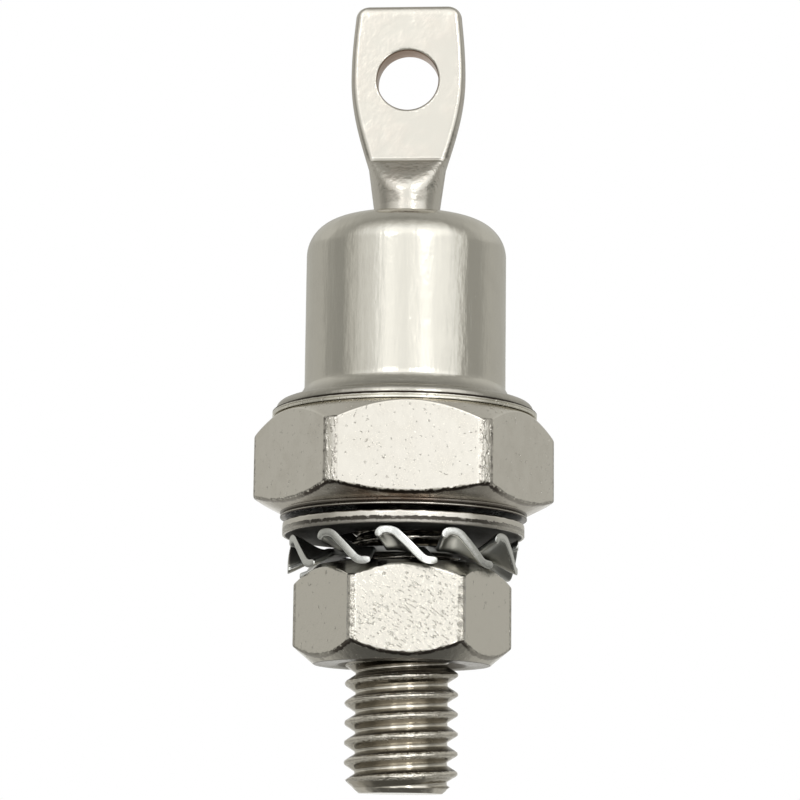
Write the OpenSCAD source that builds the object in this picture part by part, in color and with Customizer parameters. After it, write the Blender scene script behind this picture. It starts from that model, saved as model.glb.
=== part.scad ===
// Stud-mount power diode: a copper hex base with a threaded stud, a welded steel cap, a flattened tube
// terminal, the soldered rectifier stack inside the cap, and the nut and washers that clamp it down.
// Millimetres. The origin is the centre of the seat under the hex, +Z runs up to the terminal.

/* [Base and stud] */
// Hexagon across flats
hex_af = 11; // [10.4:0.1:12]
// Diameter the hexagon's corners are turned down to
hex_corner_d = 12.45; // [12:0.05:13]
// Height of the base from the seat to its turned top
hex_h = 4.2; // [3.6:0.1:6]
// Diameter of the turned top face
hex_top_d = 10.8; // [10.2:0.1:11.2]
// Angle of the top chamfer
hex_top_chamfer = 45; // [30:1:50]
// Diameter of the raised seat under the hexagon
seat_d = 10.2; // [9:0.1:10.8]
// Height of the raised seat
seat_h = 0.24; // [0.1:0.02:0.4]
// Angle of the bottom chamfer
hex_seat_chamfer = 27; // [20:1:35]
// Turn of the hexagon against the lug
hex_turn = 5.7; // [-30:0.1:30]
// Diameter over the stud's thread crests
stud_d = 4.65; // [4.2:0.05:5]
// Length of the stud below the seat
stud_l = 11.2; // [9:0.1:20]
// Diameter of the flat on the stud's end
stud_tip_d = 3.4; // [2.6:0.1:4]
// Diameter of the pedestal that carries the soldered stack
pedestal_d = 6.2; // [5.4:0.1:6.8]
// Height of the pedestal above the hexagon
pedestal_h = 1; // [0.4:0.1:1.6]

/* [Cap] */
// Outer diameter of the weld ring
weld_ring_d = 11; // [10.6:0.1:11.2]
// Thickness of the weld ring
weld_ring_t = 0.22; // [0.15:0.01:0.5]
// Inner diameter of the weld ring
weld_ring_bore = 7.6; // [7:0.1:8.4]
// Outer diameter of the cap
cap_d = 8.38; // [8.2:0.02:9]
// Wall of the cap
cap_wall = 0.5; // [0.3:0.05:0.6]
// Height of the cap from the weld ring to its top
cap_h = 8.13; // [7.6:0.05:10]
// Radius of the cap's shoulder
cap_shoulder_r = 1.5; // [1:0.1:1.8]
// Diameter of the cap's flange
flange_d = 10.7; // [10.3:0.1:11]
// Thickness of the flange
flange_t = 0.4; // [0.3:0.02:0.6]
// Rounding of the flange's upper edge
flange_edge_r = 0.24; // [0.1:0.02:0.25]
// Fillet between the flange and the cap's wall
flange_fillet_r = 0.7; // [0.2:0.05:0.75]
// Diameter of the glass seal in the cap's top
glass_d = 4.4; // [3.8:0.1:4.6]
// Height of the glass seal
glass_h = 0.7; // [0.5:0.05:1]

/* [Terminal] */
// Diameter of the tube where it passes the glass
neck_d = 2.8; // [2.4:0.1:3]
// Bore of the tube
tube_bore = 1.5; // [1.2:0.05:1.7]
// Depth of the tube below the cap's top
tube_below = 1; // [0.8:0.1:1.6]
// Height above the cap's top where the tube starts to widen
neck_h = 0.65; // [0.3:0.05:1]
// Diameter of the tube where the press has spread it
flare_d = 3.26; // [3:0.02:3.6]
// Height above the cap's top where the tube starts to spread
flare_h = 2.35; // [2.1:0.05:2.8]
// Greatest width of the lug
lug_w = 4.86; // [4.4:0.02:5.4]
// Height above the cap's top of the lug's greatest width
lug_wide_h = 6.35; // [5.6:0.05:7]
// Width of the lug's top edge
lug_top_w = 4.42; // [4:0.02:4.8]
// Height of the lug's top above the cap's top
lug_h = 9.46; // [9:0.02:11]
// Radius of the lug's upper corners
lug_corner_r = 0.5; // [0.2:0.05:0.6]
// Thickness of the lug
lug_t = 1.1; // [0.8:0.05:1.4]
// Height above the cap's top where the press's ramps start
ramp_h = 1.5; // [1.3:0.05:1.8]
// Height above the cap's top where the lug's flats start
flat_h = 2.72; // [2.4:0.02:3.2]
// Diameter of the terminal hole
hole_d = 2.6; // [2:0.1:3]
// Height of the terminal hole above the cap's top
hole_h = 6.18; // [5.6:0.02:6.8]

/* [Soldered stack] */
// Thickness of each solder layer
solder_t = 0.08; // [0.05:0.01:0.15]
// Diameter of the lower molybdenum disc
lower_disc_d = 5; // [4.4:0.1:5.3]
// Thickness of the lower molybdenum disc
lower_disc_t = 0.6; // [0.4:0.05:0.8]
// Diameter of the silicon die
die_d = 4.2; // [3.6:0.1:4.3]
// Thickness of the silicon die
die_t = 0.3; // [0.2:0.02:0.4]
// Diameter of the upper molybdenum disc
upper_disc_d = 3.2; // [2.8:0.1:3.4]
// Thickness of the upper molybdenum disc
upper_disc_t = 0.5; // [0.3:0.05:0.7]
// Thickness of the rubber coating beyond the die's edge
coating_w = 0.3; // [0.2:0.05:0.35]
// Diameter of the lead's nail head
lead_head_d = 2.4; // [2:0.1:2.7]
// Thickness of the lead's nail head
lead_head_t = 0.5; // [0.3:0.05:0.8]
// Diameter of the lead
lead_d = 1.3; // [0.9:0.05:1.4]
// Length of the lead inside the tube above the cap's top
lead_in_tube = 1.7; // [1:0.1:1.9]
// Clearance of the lead in the tube
lead_clearance = 0.05; // [0.02:0.01:0.1]

/* [Nut and washers] */
// Gap that the slack nut leaves between the seat and the flat washer
washer_gap = 0.18; // [0.1:0.02:1]
// Outer diameter of the flat washer
washer_d = 10; // [9:0.1:11]
// Thickness of the flat washer
washer_t = 0.55; // [0.3:0.05:1]
// Clearance of the flat washer's hole around the stud
washer_clearance = 0.3; // [0.1:0.05:0.5]
// Rounding of the flat washer's edges
washer_edge = 0.1; // [0.04:0.01:0.14]
// Diameter over the lock washer's teeth
lock_d = 9.5; // [9:0.1:10]
// Diameter of the lock washer's ring, where the teeth start
lock_ring_d = 6.9; // [6.6:0.1:7.4]
// Clearance of the lock washer's ring around the stud
lock_clearance = 0.3; // [0.1:0.05:0.5]
// Sheet thickness of the lock washer
lock_t = 0.28; // [0.2:0.02:0.4]
// Number of teeth
lock_teeth = 11; // [9:1:12]
// Share of the tooth pitch that a tooth fills
lock_tooth_share = 0.8; // [0.6:0.02:0.86]
// Rise of a tooth's edge over the ring's plane at its tip
lock_rise = 0.66; // [0.4:0.02:0.8]
// Drop of the lock washer's ring below the flat washer
lock_drop = 0.87; // [0.7:0.01:1.2]
// Turn of the lock washer against the lug
lock_turn = 5.7; // [-30:0.1:30]
// Nut across flats
nut_af = 7.8; // [7.6:0.05:8.2]
// Diameter the nut's corners are turned down to
nut_corner_d = 9; // [8.6:0.02:9.4]
// Height of the nut
nut_h = 4; // [3:0.1:5]
// Diameter of the nut's end faces
nut_face_d = 7.24; // [7:0.02:7.5]
// Angle of the nut's chamfers
nut_chamfer = 40; // [30:1:50]
// Running clearance between the nut's bore and the stud's crests
nut_clearance = 0.05; // [0.02:0.01:0.1]
// Depth of the countersinks at the nut's bore
nut_sink = 0.3; // [0.1:0.05:0.5]
// Gap between the lock washer's ring and the nut's face
nut_gap = 0.26; // [0.15:0.01:0.4]
// Turn of the nut against the lug
nut_turn = 6.3; // [-30:0.1:30]

/* [Hidden] */
$fn = 96;
copper_plated = [0.86, 0.85, 0.82];
steel_plated = [0.80, 0.79, 0.77];
steel_dark = [0.34, 0.36, 0.37];
nut_plated = [0.88, 0.87, 0.84];
solder_grey = [0.62, 0.62, 0.64];
moly_grey = [0.50, 0.50, 0.53];
cut = 0.5;

weld_z = hex_h + weld_ring_t;
cap_top_z = weld_z + cap_h;
cap_bore_r = cap_d / 2 - cap_wall;

// The stack's levels, from the pedestal up
pedestal_z = hex_h + pedestal_h;
lower_disc_z = pedestal_z + solder_t;
die_solder_z = lower_disc_z + lower_disc_t;
die_z = die_solder_z + solder_t;
upper_solder_z = die_z + die_t;
upper_disc_z = upper_solder_z + solder_t;
lead_solder_z = upper_disc_z + upper_disc_t;
lead_z = lead_solder_z + solder_t;
lead_end_z = cap_top_z + lead_in_tube;

// The nut and washers hang together on the stud, below the seat
washer_z = -washer_gap - washer_t;
lock_z = washer_z - lock_drop;
nut_top_z = lock_z - lock_t / 2 - nut_gap;
nut_z = nut_top_z - nut_h;
washer_bore_r = stud_d / 2 + washer_clearance;
lock_bore_r = stud_d / 2 + lock_clearance;
nut_bore_r = stud_d / 2 + nut_clearance;

// Points of an arc about a centre, from one angle to another
function arc(cx, cy, r, from, to, steps = 8) =
    [for (i = [0:steps]) let (a = from + (to - from) * i / steps) [cx + r * cos(a), cy + r * sin(a)]];

// Half width of the terminal at a height above the cap's top: tube, cone, then the spread lug
function lug_half(h) =
    h <= neck_h ? neck_d / 2 :
    h <= flare_h ? neck_d / 2 + (flare_d - neck_d) / 2 * (h - neck_h) / (flare_h - neck_h) :
    h <= lug_wide_h ? flare_d / 2 + (lug_w - flare_d) / 2 * sin(90 * (h - flare_h) / (lug_wide_h - flare_h)) :
    lug_top_w / 2 + (lug_w - lug_top_w) / 2 * cos(90 * (h - lug_wide_h) / (lug_h - lug_wide_h));

// Hexagonal bar of a given width across flats, with its flats facing front and back
module hex_bar(af, h) {
    cylinder(d = af / cos(30), h = h, $fn = 6);
}

// The stud carries the thread's crest diameter and ends in a turned lead-in
module base_stud() {
    corner_r = hex_corner_d / 2;
    top_fall = (corner_r - hex_top_d / 2) * tan(hex_top_chamfer);
    seat_rise = (corner_r - seat_d / 2) * tan(hex_seat_chamfer);
    tip_h = (stud_d - stud_tip_d) / 2;
    color(copper_plated) union() {
        rotate(hex_turn) intersection() {
            hex_bar(hex_af, hex_h);
            rotate_extrude() polygon([[0, 0], [seat_d / 2, 0], [seat_d / 2, seat_h],
                                      [corner_r, seat_h + seat_rise], [corner_r, hex_h - top_fall],
                                      [hex_top_d / 2, hex_h], [0, hex_h]]);
        }
        translate([0, 0, hex_h - cut]) cylinder(d = pedestal_d, h = pedestal_h + cut);
        rotate_extrude() polygon([[0, cut], [stud_d / 2, cut], [stud_d / 2, tip_h - stud_l],
                                  [stud_tip_d / 2, -stud_l], [0, -stud_l]]);
    }
}

// Steel ring brazed to the copper, which the cap's flange is welded to
module weld_ring() {
    color(steel_plated) translate([0, 0, hex_h]) difference() {
        cylinder(d = weld_ring_d, h = weld_ring_t);
        translate([0, 0, -cut]) cylinder(d = weld_ring_bore, h = weld_ring_t + 2 * cut);
    }
}

// Drawn steel cap: one sheet from the welded flange to the eyelet around the glass
module cap() {
    r = cap_d / 2;
    fr = flange_d / 2;
    inner_r = max(cap_shoulder_r - cap_wall, 0.1);
    // The fillet leaves a little of the flange flat
    fillet_r = min(flange_fillet_r, fr - flange_edge_r - r - 0.05);
    color(steel_plated) translate([0, 0, weld_z]) rotate_extrude() polygon(concat(
        [[cap_bore_r, 0], [fr, 0]],
        arc(fr - flange_edge_r, flange_t - flange_edge_r, flange_edge_r, 0, 90, 5),
        arc(r + fillet_r, flange_t + fillet_r, fillet_r, 270, 180, 8),
        arc(r - cap_shoulder_r, cap_h - cap_shoulder_r, cap_shoulder_r, 0, 90, 12),
        [[glass_d / 2, cap_h], [glass_d / 2, cap_h - cap_wall]],
        arc(cap_bore_r - inner_r, cap_h - cap_wall - inner_r, inner_r, 90, 0, 10)));
}

// Glass bead fused between the eyelet and the tube
module glass_seal() {
    color([0.24, 0.30, 0.29]) translate([0, 0, cap_top_z - glass_h]) difference() {
        cylinder(d = glass_d, h = glass_h);
        translate([0, 0, -cut]) cylinder(d = neck_d, h = glass_h + 2 * cut);
    }
}

// Tube pressed flat above the seal: a turned outline, cut by the die's two flats and their ramps
module terminal() {
    steps = 36;
    top_r = lug_half(lug_h - lug_corner_r) - lug_corner_r;
    wide = lug_w + 2 * cut;
    flat = lug_t / 2;
    ramp = lug_half(ramp_h);
    color(copper_plated) translate([0, 0, cap_top_z]) difference() {
        intersection() {
            rotate_extrude() polygon(concat(
                [[0, -tube_below], [neck_d / 2, -tube_below]],
                [for (i = [0:steps]) let (h = neck_h + (lug_h - lug_corner_r - neck_h) * i / steps) [lug_half(h), h]],
                arc(top_r, lug_h - lug_corner_r, lug_corner_r, 12, 90, 6),
                [[0, lug_h]]));
            rotate([90, 0, 90]) linear_extrude(wide, center = true) polygon([
                [-wide / 2, -tube_below - cut], [wide / 2, -tube_below - cut], [wide / 2, ramp_h], [ramp, ramp_h],
                [flat, flat_h], [flat, lug_h + cut], [-flat, lug_h + cut], [-flat, flat_h], [-ramp, ramp_h],
                [-wide / 2, ramp_h]]);
        }
        translate([0, 0, -tube_below - cut]) cylinder(d = tube_bore, h = tube_below + cut + lead_in_tube);
        translate([0, 0, hole_h]) rotate([90, 0, 0]) cylinder(d = hole_d, h = wide, center = true);
    }
}

// Copper lead with a nail head on the stack, running up inside the tube to its closed end
module inner_lead() {
    lead_r = min(lead_d / 2, tube_bore / 2 - lead_clearance);
    color([0.72, 0.45, 0.28]) union() {
        translate([0, 0, lead_z]) cylinder(d = lead_head_d, h = lead_head_t);
        translate([0, 0, lead_z]) cylinder(r = lead_r, h = lead_end_z - lead_z);
    }
}

// A round layer of the soldered stack
module layer(d, t, z, tint) {
    color(tint) translate([0, 0, z]) cylinder(d = d, h = t);
}

module lead_solder() { layer(lead_head_d, solder_t, lead_solder_z, solder_grey); }
module upper_disc() { layer(upper_disc_d, upper_disc_t, upper_disc_z, moly_grey); }
module upper_solder() { layer(upper_disc_d, solder_t, upper_solder_z, solder_grey); }
module die() { layer(die_d, die_t, die_z, [0.22, 0.23, 0.27]); }
module die_solder() { layer(die_d, solder_t, die_solder_z, solder_grey); }
module lower_disc() { layer(lower_disc_d, lower_disc_t, lower_disc_z, moly_grey); }
module base_solder() { layer(lower_disc_d, solder_t, pedestal_z, solder_grey); }

// Silicone rubber bead around the die's edge, on the lower disc
module junction_coating() {
    out_r = die_d / 2 + coating_w;
    in_r = upper_disc_d / 2;
    color([0.80, 0.80, 0.76]) rotate_extrude() polygon([
        [die_d / 2, die_solder_z], [out_r, die_solder_z], [out_r, upper_solder_z], [in_r + coating_w, upper_disc_z],
        [in_r, upper_disc_z], [in_r, upper_solder_z], [die_d / 2, upper_solder_z]]);
}

// Stamped flat washer, loose on the stud
module flat_washer() {
    e = washer_edge;
    out_r = washer_d / 2;
    color(steel_plated) translate([0, 0, washer_z]) rotate_extrude() polygon(concat(
        [[washer_bore_r, 0]],
        arc(out_r - e, e, e, 270, 360, 3),
        arc(out_r - e, washer_t - e, e, 0, 90, 3),
        [[washer_bore_r, washer_t]]));
}

// Share of the full rise at a place across a tooth, from its raised edge (-1) to its lowered edge (1)
function tooth_wave(u) = -sin(105 * u);

// A point of the lock washer's sheet: side 1 is its upper face and -1 its lower one
function lock_point(r, a, u, side) =
    let (reach = max(0, (r - lock_ring_d / 2) / (lock_d - lock_ring_d) * 2),
         half_w = lock_d / 2 * sin(180 / lock_teeth * lock_tooth_share),
         steep = abs(u) > 1 ? 0 : reach * lock_rise * 105 * PI / 180 * -cos(105 * u) / half_w,
         lie = 1 / sqrt(1 + steep * steep),
         z = (abs(u) > 1 ? 0 : reach * lock_rise * tooth_wave(u)) + side * lock_t / 2 * lie,
         shift = -side * lock_t / 2 * steep * lie)
    [r * cos(a) - shift * sin(a), r * sin(a) + shift * cos(a), z];

// External-tooth lock washer: one sheet, its teeth twisted out of the ring's plane
module lock_washer() {
    across = 8;
    gap_steps = 2;
    rings = [lock_bore_r - lock_clearance / 2, lock_ring_d / 2];
    tooth_rows = 4;
    per = across + gap_steps;
    total = per * lock_teeth;
    pitch = 360 / lock_teeth;
    tooth = pitch * lock_tooth_share;
    // Angle and place across the tooth of each spoke; spokes beyond a tooth have a place over 1
    spokes = [for (k = [0:lock_teeth - 1], i = [0:per - 1])
        i <= across ? [k * pitch + tooth * (i / across - 0.5), 2 * i / across - 1]
                    : [k * pitch + tooth / 2 + (pitch - tooth) * (i - across) / gap_steps, 2]];
    tips = [for (j = [1:tooth_rows]) lock_ring_d / 2 + (lock_d - lock_ring_d) / 2 * j / tooth_rows];
    // The upper face's points come first, ring by ring and then tooth by tooth, and then the lower face's
    face = function (side) concat(
        [for (r = rings, s = spokes) lock_point(r, s[0], s[1], side)],
        [for (r = tips, k = [0:lock_teeth - 1], i = [0:across])
            lock_point(r, spokes[k * per + i][0], spokes[k * per + i][1], side)]);
    upper = face(1);
    n = len(upper);
    in_ring = function (j, i) j * total + i % total;
    in_tooth = function (j, k, i) j == 0 ? in_ring(1, k * per + i)
                                         : 2 * total + (j - 1) * lock_teeth * (across + 1) + k * (across + 1) + i;
    sheet = concat(
        [for (i = [0:total - 1]) [in_ring(0, i), in_ring(0, i + 1), in_ring(1, i + 1), in_ring(1, i)]],
        [for (j = [0:tooth_rows - 1], k = [0:lock_teeth - 1], i = [0:across - 1])
            [in_tooth(j, k, i), in_tooth(j, k, i + 1), in_tooth(j + 1, k, i + 1), in_tooth(j + 1, k, i)]]);
    // The rim runs round each tooth and each gap, with the sheet on its inner side
    rim = concat(
        [for (i = [0:total - 1]) [in_ring(0, i + 1), in_ring(0, i)]],
        [for (k = [0:lock_teeth - 1], i = [across:per - 1]) [in_ring(1, k * per + i), in_ring(1, k * per + i + 1)]],
        [for (k = [0:lock_teeth - 1], j = [0:tooth_rows - 1]) [in_tooth(j, k, 0), in_tooth(j + 1, k, 0)]],
        [for (k = [0:lock_teeth - 1], j = [0:tooth_rows - 1]) [in_tooth(j + 1, k, across), in_tooth(j, k, across)]],
        [for (k = [0:lock_teeth - 1], i = [0:across - 1])
            [in_tooth(tooth_rows, k, i), in_tooth(tooth_rows, k, i + 1)]]);
    color(steel_dark) translate([0, 0, lock_z]) rotate(lock_turn - 90) difference() {
        polyhedron(
            concat(upper, face(-1)),
            concat([for (q = sheet) each [[q[0], q[1], q[2]], [q[0], q[2], q[3]]]],
                   [for (q = sheet) each [[q[2] + n, q[1] + n, q[0] + n], [q[3] + n, q[2] + n, q[0] + n]]],
                   [for (e = rim) each [[e[0], e[1], e[1] + n], [e[0], e[1] + n, e[0] + n]]]),
            convexity = 6);
        cylinder(r = lock_bore_r, h = 2 * lock_t, center = true);
    }
}

// Hexagon nut with both faces chamfered and its bore countersunk
module hex_nut() {
    corner_r = nut_corner_d / 2;
    fall = (corner_r - nut_face_d / 2) * tan(nut_chamfer);
    color(nut_plated) translate([0, 0, nut_z]) rotate(nut_turn) difference() {
        intersection() {
            hex_bar(nut_af, nut_h);
            rotate_extrude() polygon([[0, 0], [nut_face_d / 2, 0], [corner_r, fall], [corner_r, nut_h - fall],
                                      [nut_face_d / 2, nut_h], [0, nut_h]]);
        }
        rotate_extrude() polygon([
            [0, -cut], [nut_bore_r + nut_sink, -cut], [nut_bore_r + nut_sink, 0], [nut_bore_r, nut_sink],
            [nut_bore_r, nut_h - nut_sink], [nut_bore_r + nut_sink, nut_h], [nut_bore_r + nut_sink, nut_h + cut],
            [0, nut_h + cut]]);
    }
}

base_stud();
weld_ring();
cap();
glass_seal();
terminal();
inner_lead();
lead_solder();
upper_disc();
upper_solder();
die();
die_solder();
lower_disc();
base_solder();
junction_coating();
flat_washer();
lock_washer();
hex_nut();
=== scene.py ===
"""Stud diode: the looks of a stud-mount rectifier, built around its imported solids, in metres."""
import math

import bmesh
import bpy
import numpy as np
from mathutils import Matrix, Vector, noise


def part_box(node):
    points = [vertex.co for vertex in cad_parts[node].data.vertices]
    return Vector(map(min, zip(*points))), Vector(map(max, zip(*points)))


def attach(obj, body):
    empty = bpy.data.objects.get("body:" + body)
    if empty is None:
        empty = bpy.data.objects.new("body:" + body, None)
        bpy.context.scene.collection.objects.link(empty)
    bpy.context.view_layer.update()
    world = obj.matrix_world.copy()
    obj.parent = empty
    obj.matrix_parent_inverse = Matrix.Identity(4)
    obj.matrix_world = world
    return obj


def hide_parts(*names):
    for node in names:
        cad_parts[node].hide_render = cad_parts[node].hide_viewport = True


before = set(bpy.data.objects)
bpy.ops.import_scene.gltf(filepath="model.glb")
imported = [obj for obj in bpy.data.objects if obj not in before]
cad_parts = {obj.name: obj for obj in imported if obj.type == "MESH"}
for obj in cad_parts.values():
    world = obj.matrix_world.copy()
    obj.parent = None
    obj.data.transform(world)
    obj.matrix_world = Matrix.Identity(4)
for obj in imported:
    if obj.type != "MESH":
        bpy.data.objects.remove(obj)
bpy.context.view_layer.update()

# Hex base
# The copper base that a spanner holds and the heat leaves by. It is turned from hexagon bar, so both ends of
# the hexagon are chamfered on the lathe and its corners are turned down, and it is nickel plated all over.
MM = 0.001
MERGE_M = 2e-7
HEX_TURN = math.radians(5.7)
HEX_AF, HEX_CORNER_D, HEX_H, HEX_TOP_D = 11.0, 12.45, 4.2, 10.8
SEAT_D, SEAT_H, SEAT_SLOPE, SEAT_GROOVE = 10.2, 0.24, math.tan(math.radians(27)), 0.08
PEDESTAL_D, PEDESTAL_H = 6.2, 1.0
# The colour of dirt, also used for painted shade under edges, in hollows and under the nut
SHADE_AND_DIRT_COLOUR = (0.042, 0.030, 0.022)


def smooth_min(a, b, reach):
    """The lesser of two sizes, blended where they differ by less than reach."""
    blend = np.maximum(reach - np.abs(a - b), 0) / reach
    return np.minimum(a, b) - blend**2 * reach / 4


def hexagon_angles(flat_steps, corner_from, corner_steps):
    """Angles round a hexagon, closer together where its corners are turned off."""
    flat = np.linspace(-corner_from, corner_from, flat_steps)
    corner = np.linspace(corner_from, 60 - corner_from, corner_steps + 1)[1:-1]
    sector = np.concatenate([flat, corner])
    return np.radians(np.concatenate([sector + 60 * k - 90 for k in range(6)]))


def hexagon_radius(angles, across_flats, corner_d, soft):
    """Distance from the axis to a hexagon whose flats face front and back."""
    off = angles % (math.pi / 3) - math.pi / 6
    return smooth_min(across_flats / 2 / np.cos(off), np.full_like(angles, corner_d / 2), soft)


def wear_round(angles, pitch, seed):
    """A repeatable uneven number, near 0, for each angle round an edge."""
    spots = [Vector((math.cos(a) * pitch, math.sin(a) * pitch, seed)) for a in angles]
    return np.array([noise.noise(s) + 0.5 * noise.noise(s * 2.7) for s in spots])


def profiles_round(corners, angles):
    """Profiles (angles, corners, 2) from corners whose radius and height may change with the angle."""
    columns = [np.stack([radius + 0 * angles, height + 0 * angles], axis=-1) for radius, height in corners]
    return np.stack(columns, axis=1)


def round_corners(points, cuts, steps=4, hold=1.7, most=0.28):
    """Rounds the corners of profiles. cuts: how far back each corner starts to turn, up to the share most of
    its shorter side. hold: how far from the corner, in cuts, a row keeps the flat beside it flat."""
    out = [points[:, :1]]
    for k in range(1, points.shape[1] - 1):
        here, before, after = points[:, k], points[:, k - 1] - points[:, k], points[:, k + 1] - points[:, k]
        len_b = np.linalg.norm(before, axis=1, keepdims=True) + 1e-9
        len_a = np.linalg.norm(after, axis=1, keepdims=True) + 1e-9
        cut = np.minimum(np.reshape(cuts[k - 1], (-1, 1)), most * np.minimum(len_b, len_a))
        start, end = here + before / len_b * cut, here + after / len_a * cut
        out.append((here + before / len_b * cut * hold)[:, None])
        for t in np.linspace(0, 1, steps + 1):
            out.append(((1 - t) ** 2 * start + 2 * t * (1 - t) * here + t * t * end)[:, None])
        out.append((here + after / len_a * cut * hold)[:, None])
    out.append(points[:, -1:])
    return np.concatenate(out, axis=1)


def face_outwards(mesh, merge=0.0):
    """Turns the faces of a closed mesh outwards, after merging points that lie within the merge distance."""
    work = bmesh.new()
    work.from_mesh(mesh)
    if merge:
        bmesh.ops.remove_doubles(work, verts=work.verts, dist=merge)
    bmesh.ops.recalc_face_normals(work, faces=work.faces)
    work.to_mesh(mesh)
    work.free()


def skin_piece(name, points, closed=False):
    """A smooth mesh object over points (rows, columns, 3) in millimetres, wrapped round its columns."""
    rows, columns = points.shape[:2]
    faces = []
    for i in range(rows if closed else rows - 1):
        a, b = i * columns, (i + 1) % rows * columns
        faces += [(a + j, a + (j + 1) % columns, b + (j + 1) % columns, b + j) for j in range(columns)]
    mesh = bpy.data.meshes.new(name)
    mesh.from_pydata((points.reshape(-1, 3) * MM).tolist(), [], faces)
    face_outwards(mesh, MERGE_M)
    mesh.polygons.foreach_set("use_smooth", [True] * len(mesh.polygons))
    piece = bpy.data.objects.new(name, mesh)
    bpy.context.scene.collection.objects.link(piece)
    return piece


def turned(profiles, angles):
    """Points of profiles (columns, rows, 2) of radius and height, each set at its own angle."""
    radius, height = profiles[..., 0].T, profiles[..., 1].T
    return np.stack([radius * np.cos(angles), radius * np.sin(angles), height], axis=-1)


class Wire:
    """A socket of a node tree that takes part in Python arithmetic."""

    def __init__(self, tree, socket):
        self.tree, self.socket = tree, socket

    def node(self, kind, settings=None, inputs=None, output=0):
        """Adds a node, sets it, fills its sockets with values or wires, and returns one of its outputs."""
        made = self.tree.nodes.new(kind)
        for key, value in (settings or {}).items():
            if key == "stops":
                ramp = made.color_ramp.elements
                while len(ramp) < len(value):
                    ramp.new(1.0)
                for stop, (place, level) in zip(ramp, value):
                    stop.position, stop.color = place, (level, level, level, 1)
            else:
                setattr(made, key, value)
        for key, value in (inputs or {}).items():
            if isinstance(value, Wire):
                self.tree.links.new(value.socket, made.inputs[key])
            else:
                made.inputs[key].default_value = value
        return Wire(self.tree, made.outputs[output])

    def math(self, operation, first, second=0.0):
        return self.node("ShaderNodeMath", {"operation": operation}, {0: first, 1: second})

    def __add__(self, other):
        return self.math("ADD", self, other)

    def __sub__(self, other):
        return self.math("SUBTRACT", self, other)

    def __rsub__(self, other):
        return self.math("SUBTRACT", other, self)

    def __mul__(self, other):
        return self.math("MULTIPLY", self, other)

    def __truediv__(self, other):
        return self.math("DIVIDE", self, other)

    def __neg__(self):
        return self * -1

    def __abs__(self):
        return self.math("ABSOLUTE", self)

    __radd__, __rmul__ = __add__, __mul__

    def between(self, low, high, soft=True):
        """0 below low, 1 above high, and a slope between them."""
        kind = "SMOOTHSTEP" if soft else "LINEAR"
        return self.node("ShaderNodeMapRange", {"interpolation_type": kind}, {0: self, 1: low, 2: high})

    def below(self, low, high):
        """1 below low, 0 above high, and a soft slope between them."""
        return 1 - self.between(low, high)


def start_finish(name, metal=0.0):
    """A new material with its shader, and a wire of the piece's own coordinates in millimetres."""
    material = bpy.data.materials.new(name)
    material.use_nodes = True
    tree = material.node_tree
    shader = tree.nodes["Principled BSDF"]
    shader.inputs["Metallic"].default_value = metal
    place = Wire(tree, tree.nodes.new("ShaderNodeTexCoord").outputs["Object"])
    spot = place.node("ShaderNodeVectorMath", {"operation": "SCALE"}, {0: place, "Scale": 1 / MM})
    return material, shader, spot


def grain(spot, scale, seed, detail=4.0, rough=0.6):
    """Soft noise from 0 to 1, so many waves to a millimetre, with finer waves on it by detail and rough."""
    return spot.node("ShaderNodeTexNoise", {"noise_dimensions": "4D"},
                     {"Vector": spot, "W": seed, "Scale": scale, "Detail": detail, "Roughness": rough})


def feed(shader, socket, wire):
    wire.tree.links.new(wire.socket, shader.inputs[socket])


def feed_relief(shader, height, depth, strength=1.0):
    """Bumps by a wire of height, where a height of 1 is so many metres."""
    bump = height.node("ShaderNodeBump", None, {"Strength": strength, "Distance": depth, "Height": height})
    feed(shader, "Normal", bump)


def tint(mask, clear, marked):
    """One colour, or a wire of colour, where the mask is 0 and another colour where it is 1."""
    under = clear if isinstance(clear, Wire) else (*clear, 1)
    return mask.node("ShaderNodeMix", {"data_type": "RGBA"}, {0: mask, 6: under, 7: (*marked, 1)}, output=2)


def coordinates(spot):
    parts = spot.node("ShaderNodeSeparateXYZ", None, {0: spot}).socket.node.outputs
    return [Wire(spot.tree, part) for part in parts]


def axes(spot):
    """The three coordinates of a spot, and its distance from the part's axis."""
    x, y, z = coordinates(spot)
    return x, y, z, spot.math("SQRT", x * x + y * y)


def plated(name, colour, dull, rough, uneven, pit_share, pit_depth, ripple, seed,
           dirt_and_shade_rule=None, score=None, film=None):
    """Nickel plate: a warm bright metal, whose dull patches, fine pits and soft ripples come from the metal
    under it. The darkening rule gives where it is dark with dirt, weld flash and painted shade. score: a rule
    for where it is cut or bruised, as a height. film: a rule for where grease lies on it, and the grease's
    colour."""
    material, shader, spot = start_finish(name, metal=1.0)
    patches = grain(spot, 1.1, seed).between(0.38, 0.72)
    fine = grain(spot, 9.0, seed + 3.1, detail=3.0)
    pits = grain(spot, 7.5, seed + 7.7, detail=2.0, rough=0.5).between(pit_share, pit_share + 0.07)
    shade = tint(patches * 0.35 + pits * 0.4, colour, dull)
    if film:
        film_rule, film_colour = film
        shade = tint(film_rule(spot), shade, film_colour)
    dull_level = rough + uneven * patches + 0.5 * uneven * fine + 0.12 * pits
    # Dirt, weld flash and painted shade darken the colour where the darkening rule says
    if dirt_and_shade_rule:
        dirt_and_shade = dirt_and_shade_rule(spot)
        shade, dull_level = tint(dirt_and_shade, shade, SHADE_AND_DIRT_COLOUR), dull_level + 0.15 * dirt_and_shade
    feed(shader, "Base Color", shade)
    feed(shader, "Roughness", dull_level)
    swell = grain(spot, 0.9, seed + 1.3, detail=2.0, rough=0.5)
    waves = swell * ripple + fine * 0.06 * ripple - pits * pit_depth
    waves = waves + score(spot) if score else waves
    feed_relief(shader, waves, 0.02 * MM)
    return material


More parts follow.
